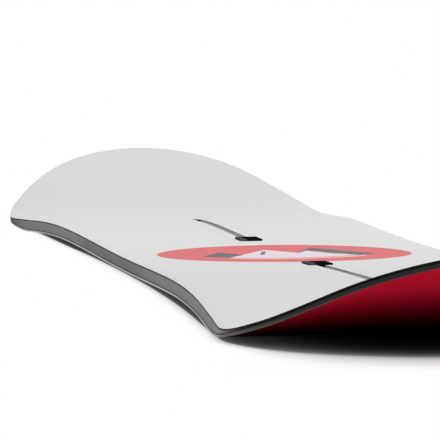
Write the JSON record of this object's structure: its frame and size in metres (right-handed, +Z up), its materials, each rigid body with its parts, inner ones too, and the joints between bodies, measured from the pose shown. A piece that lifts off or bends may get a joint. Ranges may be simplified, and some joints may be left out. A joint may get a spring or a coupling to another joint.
{
  "type": "snowboard deck",
  "caption": "Laminated twin-tip snowboard deck without bindings, with cambered profile, raised tips, steel edges and slotted binding channels that hold sliding threaded nuts.",
  "frame": {"origin": "Middle of the deck's bounding box, on the ground that the deck rests on.", "axes": "+X runs from the tail to the nose, +Y to the left of a rider who looks at the nose, +Z up from the ground."},
  "size_m": [1.55, 0.2944, 0.0653],
  "materials": {
    "base": "stone-ground polyethylene",
    "steel_edge": "ground along the edge",
    "edge_rubber": "matt",
    "fibreglass": "resin-filled glass weave",
    "core_hardwood": "planed, grain lengthways",
    "core_poplar": "planed, grain lengthways",
    "sidewall": "milled ABS, satin",
    "tip_spacer": "milled ABS, satin",
    "topsheet": "satin lacquer with printed disc",
    "channel_track": "bead-blasted, anodised grey brown",
    "channel_cap": "moulded, satin",
    "channel_nut": "zinc plated"
  },
  "bodies": {
    "deck": {"base_sheet": "base", "left_steel_edge": "steel_edge", "right_steel_edge": "steel_edge", "tail_steel_edge": "steel_edge", "nose_steel_edge": "steel_edge", "left_edge_rubber": "edge_rubber", "right_edge_rubber": "edge_rubber", "tail_edge_rubber": "edge_rubber", "nose_edge_rubber": "edge_rubber", "lower_laminate": "fibreglass", "core_centre_stringer": "core_hardwood", "core_left_plank": "core_poplar", "core_right_plank": "core_poplar", "core_left_rail": "core_hardwood", "core_right_rail": "core_hardwood", "left_sidewall": "sidewall", "right_sidewall": "sidewall", "tail_spacer": "tip_spacer", "nose_spacer": "tip_spacer", "upper_laminate": "fibreglass", "topsheet": "topsheet", "tail_channel_track": "channel_track", "nose_channel_track": "channel_track", "tail_channel_cap": "channel_cap", "nose_channel_cap": "channel_cap", "tail_channel_plug": "channel_cap", "nose_channel_plug": "channel_cap"},
    "tail_inner_slider": {"tail_inner_nut": "channel_nut"},
    "tail_outer_slider": {"tail_outer_nut": "channel_nut"},
    "nose_inner_slider": {"nose_inner_nut": "channel_nut"},
    "nose_outer_slider": {"nose_outer_nut": "channel_nut"}
  },
  "joints": [
    {"name": "tail_inner_nut_slide", "type": "slide", "parent": "deck", "child": "tail_inner_slider", "axis": [-1, 0, 0.0068], "range_m": [-0.1, 0.0095]},
    {"name": "tail_outer_nut_slide", "type": "slide", "parent": "deck", "child": "tail_outer_slider", "axis": [-1, 0, 0.0068], "range_m": [-0.0135, 0.096]},
    {"name": "nose_inner_nut_slide", "type": "slide", "parent": "deck", "child": "nose_inner_slider", "axis": [1, 0, 0.0082], "range_m": [-0.1, 0.0095]},
    {"name": "nose_outer_nut_slide", "type": "slide", "parent": "deck", "child": "nose_outer_slider", "axis": [1, 0, 0.0082], "range_m": [-0.0135, 0.096]}
  ]
}
